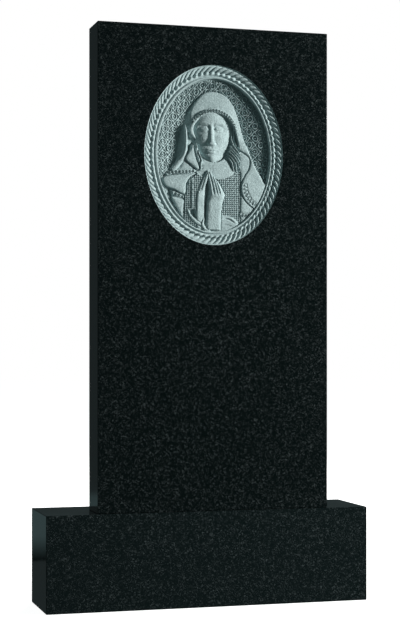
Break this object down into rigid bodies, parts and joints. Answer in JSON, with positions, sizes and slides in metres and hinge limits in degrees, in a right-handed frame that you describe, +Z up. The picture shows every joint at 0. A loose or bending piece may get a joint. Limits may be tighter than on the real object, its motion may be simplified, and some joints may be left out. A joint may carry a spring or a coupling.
{
  "type": "headstone",
  "caption": "Upright dark granite tablet on a wider base block, with a sunk oval carved with a veiled praying figure inside a rope border.",
  "frame": {"origin": "middle of the base block's underside", "axes": "+Z up, -Y is the carved front, +X to the right of someone who faces the front"},
  "size_m": [0.695, 0.17, 1.21],
  "materials": {
    "base_granite": "polished black granite with fine pale grains",
    "tablet_granite": "polished black granite, matt light grey-green where the oval is carved"
  },
  "bodies": {
    "root": {"base": "base_granite", "tablet": "tablet_granite"}
  },
  "joints": []
}
